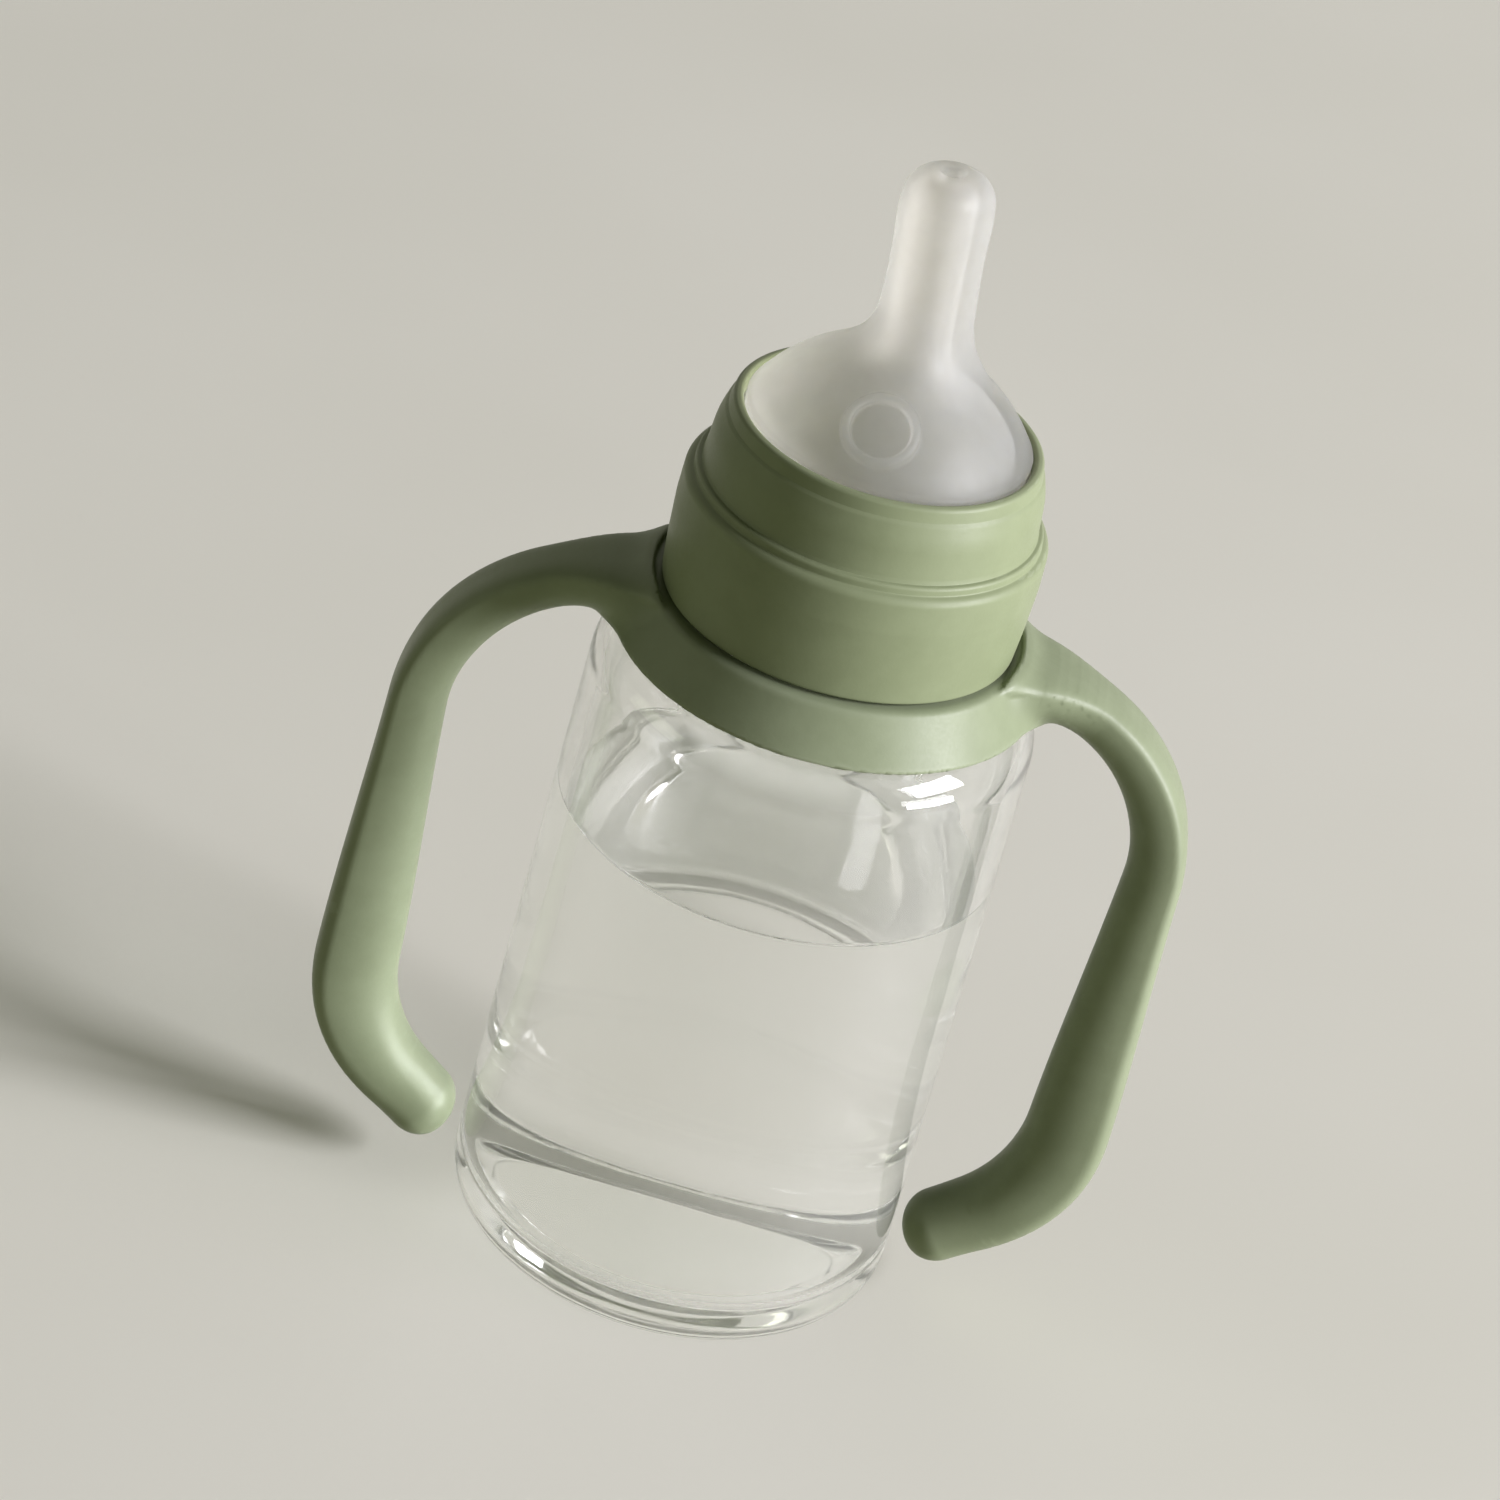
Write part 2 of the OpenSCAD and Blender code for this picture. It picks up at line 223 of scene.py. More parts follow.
def ridge(angles, z, z0, turns, root=0.85, crest=0.35):
    """Share of the thread's depth at each angle, for one helical ridge that starts at z0."""
    out = np.zeros_like(angles)
    for k in range(math.ceil(turns) + 1):
        t = angles / TAU + k
        inside = (t <= turns)
        away = np.abs(z - (z0 + PITCH * t))
        ends = smooth(t / 0.09) * smooth((turns - t) / 0.09)
        out = np.maximum(out, np.where(inside, smooth((root - away) / (root - crest)) * ends, 0))
    return out


# ---- Distance functions (mm, negative inside) ------------------------------------------------

def smin(a, b, k):
    h = np.clip(0.5 + 0.5 * (b - a) / k, 0, 1)
    return b * (1 - h) + a * h - k * h * (1 - h)


def smax(a, b, k):
    return -smin(-a, -b, k)


def post(r, z, radius, low_z, high_z, edge):
    """Signed distance to a round plate or post about the axis, with rounded edges."""
    half = (high_z - low_z) / 2
    a = r - radius + edge
    b = np.abs(z - (low_z + high_z) / 2) - half + edge
    return np.hypot(np.maximum(a, 0), np.maximum(b, 0)) + np.minimum(np.maximum(a, b), 0) - edge


def blended(name, func, lo, hi, cell):
    """A mesh of func = 0 as a surface net, with its points moved onto the true surface."""
    lo, hi = np.array(lo, float), np.array(hi, float)
    n = np.ceil((hi - lo) / cell).astype(int) + 1
    block = 4
    m = -(-n // block)
    n = m * block + 1
    val = np.zeros(n)
    ci = np.stack(np.meshgrid(*[np.arange(k) for k in m], indexing="ij"), -1).reshape(-1, 3)
    centre = func(lo + (ci * block + block / 2) * cell)
    reach = block * cell * math.sqrt(3) / 2 * 1.35 + cell
    near = np.abs(centre) < reach
    for i, c in zip(ci[~near], centre[~near]):
        a = i * block
        b = a + block + 1
        val[a[0]:b[0], a[1]:b[1], a[2]:b[2]] = math.copysign(9, c)
    local = np.stack(np.meshgrid(*[np.arange(block + 1)] * 3, indexing="ij"), -1).reshape(-1, 3)
    idx = (ci[near][:, None, :] * block + local[None]).reshape(-1, 3)
    key = np.unique((idx[:, 0] * n[1] + idx[:, 1]) * n[2] + idx[:, 2])
    ix, iy, iz = key // (n[1] * n[2]), key // n[2] % n[1], key % n[2]
    val[ix, iy, iz] = func(lo + np.stack([ix, iy, iz], 1) * cell)

    inside = val < 0
    cells = np.zeros(n - 1, int)
    for dx in (0, 1):
        for dy in (0, 1):
            for dz in (0, 1):
                cells += inside[dx:n[0] - 1 + dx, dy:n[1] - 1 + dy, dz:n[2] - 1 + dz]
    live = (cells > 0) & (cells < 8)
    number = -np.ones(n - 1, int)
    number[live] = np.arange(live.sum())
    base = np.stack(np.nonzero(live), 1)
    total = np.zeros((len(base), 3))
    count = np.zeros(len(base))
    corners = [np.array(c) for c in np.ndindex(2, 2, 2)]
    for a in corners:
        for axis in range(3):
            if a[axis]:
                continue
            b = a.copy()
            b[axis] = 1
            va = val[tuple((base + a).T)]
            vb = val[tuple((base + b).T)]
            hit = (va < 0) != (vb < 0)
            t = np.where(hit, va / np.where(hit, va - vb, 1), 0)
            p = base + a + t[:, None] * (b - a)
            total += np.where(hit[:, None], p, 0)
            count += hit
    verts = lo + total / count[:, None] * cell

    faces = []
    for axis in range(3):
        u, v = (axis + 1) % 3, (axis + 2) % 3
        first = [slice(None)] * 3
        second = [slice(None)] * 3
        first[axis] = slice(0, n[axis] - 1)
        second[axis] = slice(1, n[axis])
        a, b = inside[tuple(first)], inside[tuple(second)]
        e = np.stack(np.nonzero(a != b), 1)
        e = e[(e[:, u] > 0) & (e[:, v] > 0) & (e[:, u] < n[u] - 1) & (e[:, v] < n[v] - 1)]
        start = a[tuple(e.T)]
        quad = []
        for du, dv in ((-1, -1), (0, -1), (0, 0), (-1, 0)):
            q = e.copy()
            q[:, u] += du
            q[:, v] += dv
            quad.append(number[tuple(q.T)])
        quad = np.stack(quad, 1)
        quad[~start] = quad[~start][:, ::-1]
        faces.append(quad)
    faces = np.concatenate(faces)

    def slope_of(p, h=0.02):
        g = np.empty_like(p)
        for k in range(3):
            q = np.zeros(3)
            q[k] = h
            g[:, k] = (func(p + q) - func(p - q)) / (2 * h)
        return g

    links = np.concatenate([faces[:, [i, (i + 1) % 4]] for i in range(4)])
    for turn in range(4):
        if turn:
            near_sum = np.zeros_like(verts)
            near_count = np.zeros(len(verts))
            for a, b in (links.T, links.T[::-1]):
                np.add.at(near_sum, a, verts[b])
                np.add.at(near_count, a, 1)
            verts = verts + 0.5 * (near_sum / near_count[:, None] - verts)
        for _ in range(2 if turn else 1):
            g = slope_of(verts)
            step = func(verts)[:, None] * g / np.maximum((g ** 2).sum(1), 0.2)[:, None]
            far = np.linalg.norm(step, axis=1, keepdims=True)
            verts = verts - step * np.minimum(1, 0.6 * cell / np.maximum(far, 1e-9))
    g = slope_of(verts, 0.06)
    normals = g / np.maximum(np.linalg.norm(g, axis=1, keepdims=True), 1e-9)
    return new_object(name, verts, faces.tolist(), normals)


# ---- Bottle and water ------------------------------------------------------------------------

def wall_at(z):
    """Inside radius of the body's straight wall."""
    return BODY_R - WALL - (BODY_R - SHOULDER_R) * z / BODY_H


def make_bottle():
    drop = WALL / math.cos(SLOPE)
    inner_low = FLOOR_T + PUSH_UP
    foot = BODY_R - HEEL_R - FOOT_IN
    profile = rounded([
        (0, PUSH_UP, 0), (foot - 2.5, PUSH_UP, 1.5), (foot, 0, 0.8), (BODY_R, 0, HEEL_R),
        (SHOULDER_R, BODY_H, SHOULDER_ROUND), (NECK_R, NECK_FOOT, 1.2),
        (NECK_R, THREAD_LOW - 1.4, 0),
        (NECK_R, THREAD_HIGH + 1.4, 0), (NECK_R, NECK_TOP, 0.8), (BORE_R, NECK_TOP, 0.8),
        (BORE_R, NECK_FOOT - drop + NECK_WALL * math.tan(SLOPE), 2.5),
        (SHOULDER_R - WALL, BODY_H - drop + WALL * math.tan(SLOPE), SHOULDER_ROUND - WALL),
        (wall_at(WET_Z), WET_Z, 0), (BODY_R - WALL, FLOOR_T, INNER_HEEL), (0, inner_low, 0),
    ], is_closed=False)
    on_neck = ((np.abs(profile[:, 0] - NECK_R) < 0.01) & (profile[:, 1] > THREAD_LOW - 1.5)
               & (profile[:, 1] < THREAD_HIGH + 1.5))
    rows = 56
    fine = np.stack([np.full(rows, NECK_R),
                     np.linspace(THREAD_LOW - 1.4, THREAD_HIGH + 1.4, rows)], 1)
    at = int(np.argmax(on_neck))
    profile = np.concatenate([profile[:at], fine, profile[at + on_neck.sum():]])

    def swell(angles, r, z):
        if abs(r - NECK_R) > 0.01 or not THREAD_LOW - 1.4 < z < THREAD_HIGH + 1.4:
            return 0
        return THREAD_DEPTH * ridge(angles, z, THREAD_LOW, NECK_TURNS)

    return lathe("bottle_glass", profile, closed=False, swell=swell)


def make_water():
    """Fills the inside to a hair from the wall. Its skin on the wall is a slot of its own."""
    off = 0.03
    edge = wall_at(WET_Z) - off
    profile = rounded([
        (0, FLOOR_T + PUSH_UP + off, 0), (BODY_R - WALL - off, FLOOR_T + off, INNER_HEEL - off),
        (edge, WET_Z, 0), (edge - 0.2, WATER_Z + 0.2, 0.15), (edge - 0.9, WATER_Z, 0.7),
        (0, WATER_Z, 0),
    ], is_closed=False, run=3.0)
    return lathe("water", profile, closed=False)


def second_slot(obj, material, wanted):
    """Gives the material to the faces whose middle (r, z) is wanted."""
    obj.data.materials.append(material)
    for face in obj.data.polygons:
        x, y, z = face.center / MM
        if wanted(math.hypot(x, y), z):
            face.material_index = 1


# ---- Handle ring -----------------------------------------------------------------------------

HANDLE_T = 7.0
GRIP_T = 10.5
HANDLE_W = 8.6
HANDLE_SPAN = 101.4
OUTER_SHARE = 0.26                       # of the handle's thickness lies outside its widest line
TIP_SHARE = 0.42                         # the same at the lower end
END_REACH = 4.6                          # the rounded end reaches this far past the line
BOW = 0.9                                # the lower bend lies this much further in
BEND_IN = 0.07                           # and its roundness draws the grip this much further in
ROOT_X = RING_BORE_R + 1.6
HANDLE_X = (HANDLE_SPAN - GRIP_T) / 2 + BOW - BEND_IN
TIP_X = 33.5

# Along the handle, from 0 at the ring to 1 at the end: its thickness, half its width, and the
# power of its section's outer side, where 2 is an oval and more is flatter.
THICK = [(0, HANDLE_T - 0.2), (0.12, HANDLE_T - 0.6), (0.3, HANDLE_T), (0.8, GRIP_T),
         (1, GRIP_T - 1.5)]
HALF_W = [(0, HANDLE_W / 2 + 3.4), (0.13, HANDLE_W / 2), (0.5, HANDLE_W / 2 + 0.1),
          (0.87, HANDLE_W / 2 + 1), (1, HANDLE_W / 2 + 0.4)]
OUTER_POWER = [(0, 3.2), (0.7, 3.0), (1, 2.1)]
INNER_POWER = 2.15


def over_shoulder(r):
    """Height of the ring's underside, a little above the bottle's shoulder."""
    return NECK_FOOT + RING_DROP - (r - NECK_R) * math.tan(SLOPE)


def eased(s, keys):
    """A value at s from (place, value) pairs, with an even start and end to each stretch."""
    x, y = np.array(keys).T
    i = np.clip(np.searchsorted(x, s, side="right") - 1, 0, len(x) - 2)
    return y[i] + (y[i + 1] - y[i]) * smooth((s - x[i]) / (x[i + 1] - x[i]))


HANDLE_LINE = rounded([
    (ROOT_X, RING_TOP - 2.9, 0), (HANDLE_X, RING_TOP - 5.8, 23), (HANDLE_X - BOW, 19, 21),
    (TIP_X, 9.95, 0),
], is_closed=False, step=3.0, run=1.5)


def handle_distance(x, y, z):
    """About the distance to a bar along HANDLE_LINE, worked out a block of points at a time."""
    a, b = HANDLE_LINE[:-1], HANDLE_LINE[1:]
    d = b - a
    size = np.linalg.norm(d, axis=1)
    start = np.concatenate([[0], np.cumsum(size)])[:-1]
    length = size.sum()
    out = np.empty(len(x))
    block = 20000
    for i in range(0, len(x), block):
        j = slice(i, i + block)
        wx, wz = x[j, None] - a[:, 0], z[j, None] - a[:, 1]
        t = np.clip((wx * d[:, 0] + wz * d[:, 1]) / size ** 2, 0, 1)
        gap = (wx - t * d[:, 0]) ** 2 + (wz - t * d[:, 1]) ** 2
        k = gap.argmin(1)
        rows = np.arange(len(k))
        tx, tz = (d[k] / size[k, None]).T
        ox, oz = wx[rows, k], wz[rows, k]
        along = ox * tx + oz * tz
        across = ox * tz - oz * tx
        place = start[k] + np.clip(along, 0, size[k])
        s = place / length
        beyond = np.where(k == len(size) - 1, np.maximum(along - size[k], 0), 0)
        before = np.where(k == 0, np.maximum(-along, 0), 0)
        thick = eased(s, THICK)
        half_w = eased(s, HALF_W)
        share = eased(s, [(0, OUTER_SHARE), (0.8, OUTER_SHARE), (1, TIP_SHARE)])
        inward = across + (0.5 - share) * thick
        half_t = np.where(inward < 0, share, 1 - share) * thick
        square = np.where(inward < 0, eased(s, OUTER_POWER), INNER_POWER)
        u = np.abs(inward) / half_t
        v = np.abs(y[j]) / half_w
        e = (beyond / END_REACH) ** 2 + (before / 2) ** 2
        q = (u ** square + v ** square) ** (2 / square) + e
        steep = np.sqrt((u / half_t) ** 2 + (v / half_w) ** 2 + e / 9)
        steep = steep / np.sqrt(np.maximum(q, 1e-6))
        out[j] = (np.sqrt(q) - 1) / np.maximum(steep, 0.08)
    return out


def ring_distance(p):
    """The ring and both handles, less the room for the neck, the shoulder and the collar."""
    x, y, z = np.abs(p[:, 0]), p[:, 1], p[:, 2]
    r = np.hypot(x, y)
    low_z = over_shoulder(RING_FOOT_R) + 1.7
    run, rise = RING_FOOT_R - RING_HEAD_R, RING_TOP - low_z
    slant = math.hypot(run, rise)
    cone = ((r - RING_HEAD_R) * rise + (z - RING_TOP) * run) / slant
    body = smax(smax(cone, z - RING_TOP, 0.9), low_z - z, 0.7)
    handles = handle_distance(x, y, z)
    whole = smin(body, handles, 3.2)
    room = (z - over_shoulder(r)) * math.cos(SLOPE)
    room = smax(room, r - SHOULDER_R - 0.6, 0.3)
    bore = r - RING_BORE_R
    hollow = smin(room, bore, 0.5)
    seat = smax(r - SEAT_R, RING_TOP - z, 0.4)
    return smax(smax(whole, -hollow, 0.5), -seat, 0.5)


def make_handle_ring():
    cell = 0.5
    lo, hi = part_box("handle_ring")
    pad = Vector((2, 2, 2)) * MM
    return blended("handle_ring_moulding", ring_distance, (lo - pad) / MM, (hi + pad) / MM, cell)


# ---- Collar ----------------------------------------------------------------------------------

def make_collar():
    groove = SKIRT_R - 1.1
    room = THREAD_HIGH + 2.05                # the wide bore ends here
    outside = [
        (SKIRT_R - 0.6, COLLAR_LOW, 0.5), (SKIRT_R - 0.25, COLLAR_LOW + 4.6, 30),
        (SKIRT_R, COLLAR_LOW + 10, 6), (SKIRT_R - 0.1, BAND_LOW - 1.8, 1.1),
        (groove, BAND_LOW - 1.4, 0.2), (groove, BAND_LOW - 0.4, 0.45),
        (BAND_R + 0.1, BAND_LOW - 0.3, 0.12), (BAND_R, BAND_LOW + 0.2, 0.1),
        (BAND_R - 0.35, BAND_LOW + 4.55, 8), (BAND_R - 1, COLLAR_TOP - 2.3, 0.8),
        (LIP_R + 1.5, COLLAR_TOP - 1.9, 0.15), (LIP_R + 1.2, COLLAR_TOP - 0.2, 0.6),
        (LIP_R, COLLAR_TOP, 0.5), (LIP_R, LIP_LOW, 0.3), (BAND_IN_R, LIP_LOW, 0.15),
        (BAND_IN_R, room, 0.4), (SKIRT_IN_R, room - 1, 0.4),
    ]
    z0 = THREAD_LOW - PITCH / 2
    z1 = z0 + PITCH * COLLAR_TURNS
    lower = (SKIRT_IN_R, COLLAR_LOW, 0.4)
    profile = rounded([lower] + outside, run=1.2)
    on_bore = ((np.abs(profile[:, 0] - SKIRT_IN_R) < 0.01) & (profile[:, 1] > COLLAR_LOW + 0.5)
               & (profile[:, 1] < z1 + 1.2))
    rows = 44
    keep = profile[~on_bore]
    at = int(np.argmax(on_bore))
    fine = np.stack([np.full(rows, SKIRT_IN_R),
                     np.linspace(z1 + 1.2, COLLAR_LOW + 0.55, rows)], 1)
    if profile[at, 1] < profile[(at + 1) % len(profile), 1]:
        fine = fine[::-1]
    profile = np.concatenate([keep[:at], fine, keep[at:]])

    def swell(angles, r, z):
        if abs(r - SKIRT_IN_R) > 0.01 or z > z1 + 1.2:
            return 0
        return -(SKIRT_IN_R - NECK_R - 0.4) * ridge(angles, z, z0, COLLAR_TURNS)

    return lathe("collar_moulding", profile, swell=swell)


# ---- Spout -----------------------------------------------------------------------------------

ALONG = np.array([-math.sin(TUBE_LEAN), 0, math.cos(TUBE_LEAN)])
VALVE_OUT = np.array([math.cos(VALVE_AZ) * math.sin(VALVE_TILT),
                      math.sin(VALVE_AZ) * math.sin(VALVE_TILT), math.cos(VALVE_TILT)])
TUBE_LOW = -3.0                          # the tube starts this far inside the dome
TUBE_R = [(TUBE_LOW, 6.0), (TUBE_LEN * 0.55, 5.45), (TUBE_LEN * 0.76, 5.6), (TUBE_LEN, 5.3)]
CHANNEL_R = 3.5
CHANNEL_LOW = -6.0
TIP_T = 1.9                              # silicone over the end of the channel
OUTLET_R = 1.3


def spout_distance(p):
    """Flange, dome and tube with the valve's rim and dish, less the room inside them."""
    r = np.hypot(p[:, 0], p[:, 1])
    z = p[:, 2]
    q = p - TUBE_FOOT
    h = q @ ALONG
    tr = np.linalg.norm(q - h[:, None] * ALONG, axis=1)
    ball = np.hypot(r, z - DOME_Z)
    flange = post(r, z, FLANGE_R, SPOUT_LOW, FLANGE_HIGH, 0.4)
    riser = post(r, z, RISE_R, SPOUT_LOW + 0.5, LEDGE_Z, 0.4)
    dome = smax(ball - DOME_R, LEDGE_Z - 0.6 - z, 0.3)
    rest = smin(smin(flange, riser, 0.2), dome, 0.3)
    tube = post(tr, h, eased(h, TUBE_R), TUBE_LOW, TUBE_LEN, 3.4)
    outer = smin(rest, tube, 6.5)
    v = p - np.array([0, 0, DOME_Z])
    up = v @ VALVE_OUT - DOME_R
    vr = np.linalg.norm(v - (up + DOME_R)[:, None] * VALVE_OUT, axis=1)
    rim = np.hypot(vr - (VALVE_D / 2 - 0.55), np.maximum(np.abs(up + 0.15) - 0.1, 0)) - 0.62
    dish = smax(vr - (VALVE_D / 2 - 1.05), -0.35 - up, 0.3)
    outer = smin(outer, rim, 0.45)
    outer = smax(outer, -dish, 0.35)
    room = smax(r - DOME_FOOT_R + SKIN, ball - DOME_R + SKIN, 0.6)
    channel = post(tr, h, CHANNEL_R, CHANNEL_LOW, TUBE_LEN - TIP_T, 1.6)
    hole = smax(tr - OUTLET_R, TUBE_LEN - 4 - h, 0.3)
    hollow = smin(smin(room, channel, 4.5), hole, 0.8)
    return smax(outer, -hollow, 0.5)


def make_spout():
    cell = 0.32
    lo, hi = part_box("spout")
    pad = Vector((1.5, 1.5, 1.5)) * MM
    return blended("spout_silicone", spout_distance, (lo - pad) / MM, (hi + pad) / MM, cell)


# ---- Materials -------------------------------------------------------------------------------

class Nodes:
    """Short calls for a node tree. A keyword sets a socket: a number, a colour or a link."""

    def __init__(self, name):
        self.material = bpy.data.materials.new(name)
        self.material.use_nodes = True
        self.tree = self.material.node_tree
        self.tree.nodes.clear()

    def add(self, kind, settings=None, **sockets):
        node = self.tree.nodes.new("ShaderNode" + kind)
        for key, value in (settings or {}).items():
            setattr(node, key, value)
        for key, value in sockets.items():
            self.put(node.inputs[key.replace("_", " ")], value)
        return node

    def put(self, socket, value):
        if isinstance(value, bpy.types.NodeSocket):
            self.tree.links.new(value, socket)
        else:
            socket.default_value = value

    def place(self):
        return self.add("TexCoord").outputs["Object"]

    def noise(self, scale, detail=2.0, roughness=0.5, vector=None):
        node = self.add("TexNoise", Scale=scale, Detail=detail, Roughness=roughness,
                        Vector=vector or self.place())
        return node.outputs["Fac"]

    def ramp(self, value, low, high, to_low=0.0, to_high=1.0):
        node = self.add("MapRange", {"interpolation_type": "SMOOTHSTEP"}, Value=value)
        for key, number in zip(("From Min", "From Max", "To Min", "To Max"),
                               (low, high, to_low, to_high)):
            node.inputs[key].default_value = number
        return node.outputs["Result"]

    def maths(self, operation, a, b=0.0):
        node = self.add("Math", {"operation": operation})
        self.put(node.inputs[0], a)
        self.put(node.inputs[1], b)
        return node.outputs[0]

    def mix(self, factor, a, b):
        """Inputs 6 and 7 and output 2 are the colours of the Mix node."""
        node = self.add("Mix", {"data_type": "RGBA"})
        self.put(node.inputs[0], factor)
        self.put(node.inputs[6], a)
        self.put(node.inputs[7], b)
        return node.outputs[2]

    def bump(self, height, strength, distance, normal=None):
        node = self.add("Bump", Strength=strength, Distance=distance, Height=height)
        if normal is not None:
            self.put(node.inputs["Normal"], normal)
        return node.outputs["Normal"]

    def shader(self, **sockets):
        return self.add("BsdfPrincipled", **sockets)

    def rays(self, *kinds):
        """1 for a ray of any of these kinds of Light Path, and 0 for others."""
        paths = self.add("LightPath").outputs
        share = paths[kinds[0]]
        for kind in kinds[1:]:
            share = self.maths("MAXIMUM", share, paths[kind])
        return share

    def finish(self, surface, share=None, tint=(1, 1, 1, 1)):
        """Ends the tree. For its share the surface lets light straight through, tinted."""
        if share is not None:
            mix = self.add("MixShader")
            self.put(mix.inputs[0], share)
            self.put(mix.inputs[1], surface.outputs[0])
            self.put(mix.inputs[2], self.add("BsdfTransparent", Color=tint).outputs[0])
            surface = mix
        self.put(self.add("OutputMaterial").inputs["Surface"], surface.outputs[0])
        return self.material


def linear(r, g, b):
    """A colour of 0 to 255 steps, as a screen shows it, in the linear values of a shader."""
    def one(c):
        c /= 255
        return c / 12.92 if c <= 0.04045 else ((c + 0.055) / 1.055) ** 2.4
    return (one(r), one(g), one(b), 1.0)


def moulded(name, dark, light, pale, rough=0.42):
    """Satin moulded plastic: faint mottling, a fine moulded grain, and a painted highlight that
    makes sharp convex edges paler.
    """
    n = Nodes(name)
    broad = n.noise(45, 3, 0.55)
    mottle = n.noise(330, 3, 0.6)
    grain = n.noise(2600, 2, 0.6)
    blend = n.maths("ADD", n.maths("MULTIPLY", broad, 0.65), n.maths("MULTIPLY", mottle, 0.35))
    colour = n.mix(n.ramp(blend, 0.36, 0.66), dark, light)
    # Painted highlight: where the surface is sharply convex, the colour is mixed towards the pale
    # colour.
    edge = n.add("NewGeometry").outputs["Pointiness"]
    colour = n.mix(n.ramp(edge, 0.505, 0.56, 0, 0.35), colour, pale)
    roughness = n.maths("ADD", n.ramp(broad, 0.3, 0.7, rough - 0.05, rough + 0.05),
                        n.ramp(grain, 0.3, 0.7, -0.03, 0.04))
    normal = n.bump(mottle, 0.12, 0.00012)
    normal = n.bump(grain, 0.22, 0.00004, normal)
    return n.finish(n.shader(Base_Color=colour, Roughness=roughness, IOR=1.49, Normal=normal,
                             Specular_IOR_Level=0.3))


def clear_glass(name, ior=GLASS_IOR):
    """Clear glass with the slow waviness of a blown wall, a faint haze and dull finger marks."""
    n = Nodes(name)
    wave = n.noise(55, 2, 0.5)
    marks = n.noise(170, 4, 0.6)
    roughness = n.ramp(marks, 0.45, 0.75, 0.02, 0.08)
    colour = n.mix(n.ramp(wave, 0.35, 0.65), (0.99, 0.994, 0.985, 1), (0.998, 0.998, 0.99, 1))
    normal = n.bump(wave, 0.25, 0.0004)
    glass = n.shader(Base_Color=colour, Roughness=roughness, IOR=ior, Normal=normal,
                     Transmission_Weight=0.965)
    return n.finish(glass, n.rays("Is Shadow Ray", "Is Diffuse Ray"), (0.985, 0.988, 0.985, 1))


def clear_water(name, ior=WATER_IOR):
    """Clear water with a barely rippled surface."""
    n = Nodes(name)
    ripple = n.noise(120, 2, 0.5)
    colour = n.mix(ripple, (0.992, 0.996, 0.995, 1), (0.998, 0.999, 1.0, 1))
    water = n.shader(Base_Color=colour, Roughness=0.0, IOR=ior, Transmission_Weight=1.0,
                     Normal=n.bump(ripple, 0.1, 0.0002))
    return n.finish(water, n.rays("Is Shadow Ray", "Is Diffuse Ray"), (0.995, 0.997, 0.997, 1))


def milky_silicone(name):
    """Frosted silicone: cloudy and part see-through, with a soft skin."""
    n = Nodes(name)
    cloud = n.noise(140, 3, 0.55)
    grain = n.noise(1900, 2, 0.6)
    colour = n.mix(n.ramp(cloud, 0.35, 0.65), linear(240, 236, 225), linear(246, 243, 234))
    roughness = n.ramp(n.noise(420, 3, 0.6), 0.3, 0.7, 0.42, 0.54)
    normal = n.bump(cloud, 0.1, 0.0003)
    normal = n.bump(grain, 0.12, 0.00003, normal)
    skin = n.shader(Base_Color=colour, Roughness=roughness, IOR=1.41, Normal=normal,
                    Alpha=0.65, Transmission_Weight=0.42,
                    Subsurface_Weight=1.0, Subsurface_Scale=0.06,
                    Subsurface_Radius=(1.0, 0.96, 0.88), Specular_IOR_Level=0.3)
    return n.finish(skin, n.rays("Is Shadow Ray"), (0.94, 0.935, 0.915, 1))


def tray_floor(name):
    """A pale tray that fades into the surround. It bounces less light than it shows."""
    n = Nodes(name)
    soft = n.noise(6, 3, 0.5)
    grain = n.noise(900, 3, 0.6)
    colour = n.mix(n.ramp(soft, 0.3, 0.7), linear(231, 229, 217), linear(236, 234, 223))
    bounced = (0.4, 0.42, 0.24, 1)
    colour = n.mix(n.rays("Is Diffuse Ray"), colour, bounced)
    away = n.add("VectorMath", {"operation": "LENGTH"}, Vector=n.place()).outputs["Value"]
    tray = n.shader(Base_Color=colour, Roughness=n.ramp(grain, 0.3, 0.7, 0.5, 0.6),
                    Normal=n.bump(grain, 0.08, 0.00005))
    return n.finish(tray, n.ramp(away, 0.35, 1.1))


# ---- Assembly --------------------------------------------------------------------------------

# What makes it, its body, the CAD node it replaces, its slot and its material.
PIECES = [
    (make_bottle, "bottle", "bottle", "clear_glass", clear_glass("bottle_glass")),
    (make_water, "bottle", None, "clear_glass", clear_water("water")),
    # Each plastic gets its two mottling colours and then a pale colour, which is the painted
    # highlight on its sharp edges.
    (make_handle_ring, "handle_ring", "handle_ring", "handle_plastic",
     moulded("handle_plastic", linear(134, 143, 115), linear(141, 150, 122),
             linear(162, 170, 146))),
    (make_collar, "collar", "collar", "collar_plastic",
     moulded("collar_plastic", linear(133, 142, 110), linear(139, 148, 116),
             linear(160, 168, 141))),
    (make_spout, "spout", "spout", "silicone", milky_silicone("silicone")),
]
for make, body, node, slot, material in PIECES:
    piece = make()
    piece.data.materials.append(material)
    if make is make_bottle:
        second_slot(piece, clear_glass("glass_on_water", GLASS_IOR / WATER_IOR),
                    lambda r, z: r < BODY_R - WALL + 0.05 and 3 < z < WET_Z)
    if make is make_water:
        second_slot(piece, clear_water("water_on_glass", 1.0),
                    lambda r, z: r > wall_at(z) - 0.1 or z < WATER_Z - 0.1)
    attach(piece, body)
    if node:
        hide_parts(node)

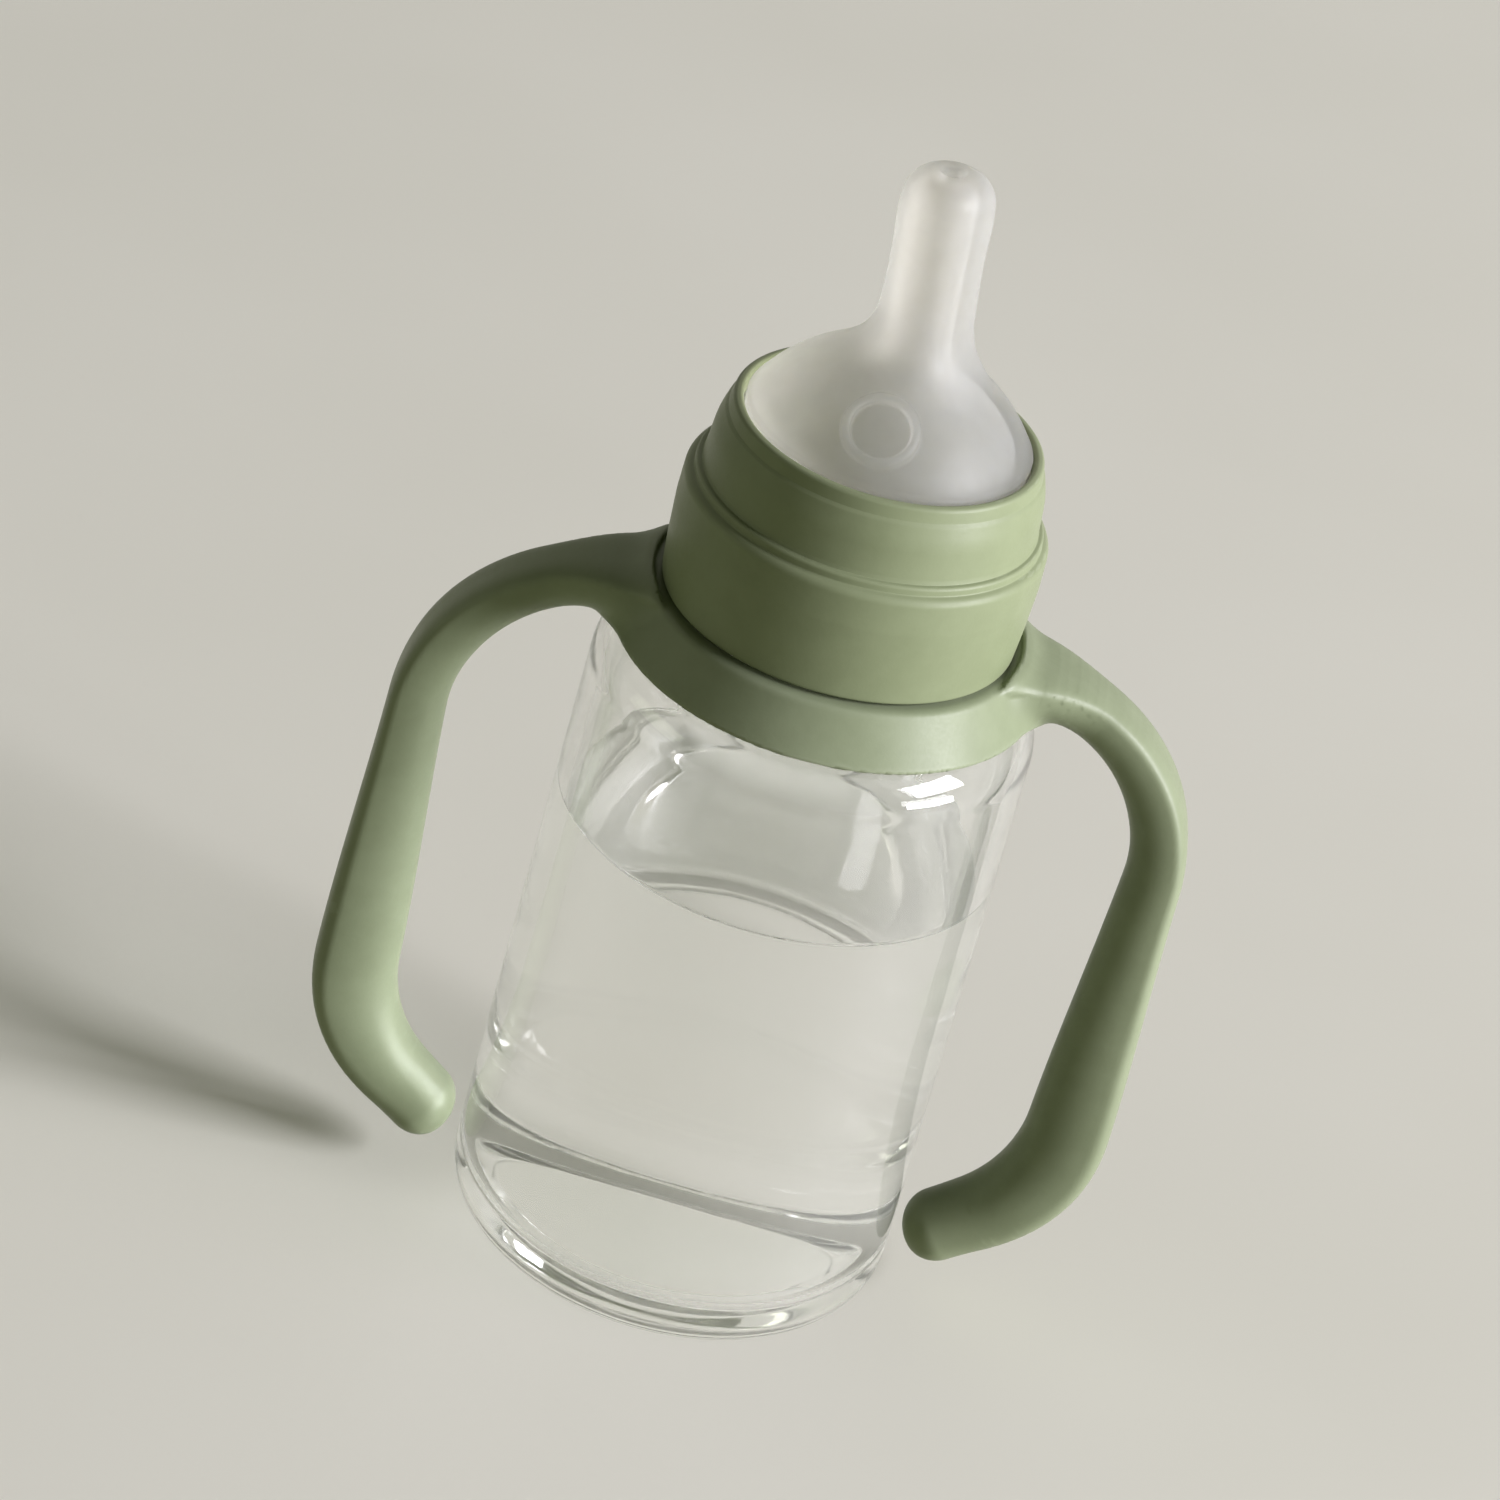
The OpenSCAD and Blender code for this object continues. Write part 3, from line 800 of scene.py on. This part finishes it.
floor_mesh = bpy.data.meshes.new("floor")
FLOOR = 3.0                              # half the floor's side, in metres
floor_mesh.from_pydata([(-FLOOR, -FLOOR, 0), (FLOOR, -FLOOR, 0), (FLOOR, FLOOR, 0),
                        (-FLOOR, FLOOR, 0)], [], [(0, 1, 2, 3)])
floor = bpy.data.objects.new("floor", floor_mesh)
bpy.context.scene.collection.objects.link(floor)
floor.data.materials.append(tray_floor("floor"))


# ---- Light and camera ------------------------------------------------------------------------

def aimed(obj, place, target, roll=0.0):
    """Links a lamp or camera at a place, looking at the target and rolled about that line."""
    turn = (Vector(target) - Vector(place)).to_track_quat("-Z", "Y").to_matrix().to_4x4()
    obj.matrix_world = Matrix.Translation(place) @ turn @ Matrix.Rotation(roll, 4, "Z")
    bpy.context.scene.collection.objects.link(obj)


def around(azimuth, elevation, distance, target):
    """A place seen from the target: azimuth from -Y towards +X, both angles in degrees."""
    a, e = math.radians(azimuth), math.radians(elevation)
    return Vector(target) + distance * Vector((math.sin(a) * math.cos(e),
                                               -math.cos(a) * math.cos(e), math.sin(e)))


def softbox(name, azimuth, elevation, distance, size, watts, colour):
    """A rectangular area lamp that points at the middle of the bottle."""
    light = bpy.data.lights.new(name, "AREA")
    light.shape = "RECTANGLE"
    light.size, light.size_y = size
    light.energy = watts
    light.color = colour
    middle = (0, 0, 0.07)
    aimed(bpy.data.objects.new(name, light), around(azimuth, elevation, distance, middle), middle)


def studio_world(seen, lit):
    """A plain surround: seen in glass and gloss in one colour, lighting the object in another."""
    world = bpy.data.worlds.new("studio")
    world.use_nodes = True
    tree = world.node_tree
    rays = tree.nodes.new("ShaderNodeLightPath").outputs
    share = None
    for kind in ("Is Camera Ray", "Is Glossy Ray", "Is Transmission Ray"):
        if share is None:
            share = rays[kind]
            continue
        both = tree.nodes.new("ShaderNodeMath")
        both.operation = "MAXIMUM"
        tree.links.new(share, both.inputs[0])
        tree.links.new(rays[kind], both.inputs[1])
        share = both.outputs[0]
    mix = tree.nodes.new("ShaderNodeMix")
    mix.data_type = "RGBA"
    tree.links.new(share, mix.inputs[0])
    mix.inputs[6].default_value = lit
    mix.inputs[7].default_value = seen
    tree.links.new(mix.outputs[2], tree.nodes["Background"].inputs["Color"])
    bpy.context.scene.world = world


LAMPS_AT = 4.0                           # metres from the object
softbox("key", 78, 30, LAMPS_AT, (1.9, 1.4), 188, (0.95, 0.93, 1.0))
softbox("low", 69, 7, LAMPS_AT, (1.8, 0.7), 155, (0.97, 0.96, 1.0))
softbox("fill", -80, 12, LAMPS_AT, (2.5, 1.2), 10, (0.95, 1.0, 0.78))
studio_world(seen=(0.64, 0.625, 0.56, 1), lit=(0.055, 0.06, 0.03, 1))

camera = bpy.data.cameras.new("camera")
camera.lens = 162
camera.sensor_width = 36
camera.clip_start = 0.01
aim = Vector((-0.0056, -0.0021, 0.0718))
camera_at = around(azimuth=-3.55, elevation=30.7, distance=0.8147, target=aim)
camera_object = bpy.data.objects.new("camera", camera)
aimed(camera_object, camera_at, aim, roll=math.radians(15.8))
bpy.context.scene.camera = camera_object

bpy.context.scene.view_settings.view_transform = "Standard"
cycles = bpy.context.scene.cycles
cycles.caustics_refractive = False
cycles.caustics_reflective = False
cycles.max_bounces = 32                  # light is trapped for long between glass and water
cycles.transmission_bounces = 32
cycles.glossy_bounces = 16
cycles.transparent_max_bounces = 24
